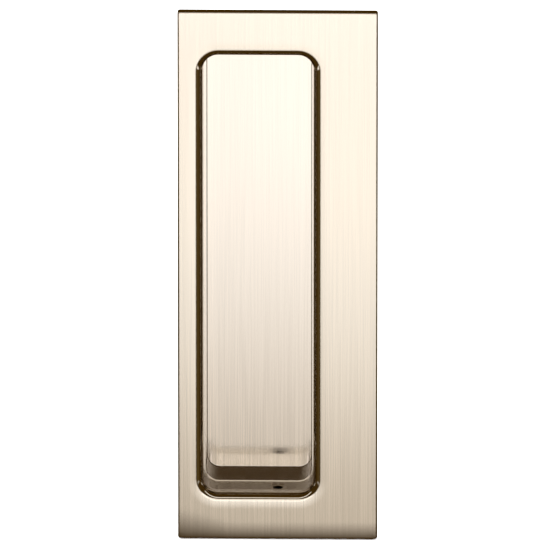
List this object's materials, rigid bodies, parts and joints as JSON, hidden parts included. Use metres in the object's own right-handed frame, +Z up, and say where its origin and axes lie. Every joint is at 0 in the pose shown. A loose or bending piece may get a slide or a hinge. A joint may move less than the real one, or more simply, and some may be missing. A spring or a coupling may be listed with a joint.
{
  "type": "recessed handle",
  "caption": "Rectangular satin plate with an off-centre rounded finger recess, let into a sliding door; a tray closes the collar from behind and grub screws fix it from inside.",
  "frame": {"origin": "centre of the plate's back, on the door's surface", "axes": "+Z up along the plate's long side, +Y into the door, the plate's face towards -Y"},
  "size_m": [0.043, 0.0172, 0.12],
  "materials": {
    "front_plate": "satin champagne plating, brushed along the plate",
    "recess_cup": "satin champagne plating, brushed along the recess",
    "grub_screws": "steel, plated to match the plate",
    "cup_screws": "zinc plated"
  },
  "bodies": {
    "root": {"front_plate": "front_plate", "recess_cup": "recess_cup", "grub_screws": "grub_screws", "cup_screws": "cup_screws"}
  },
  "joints": []
}
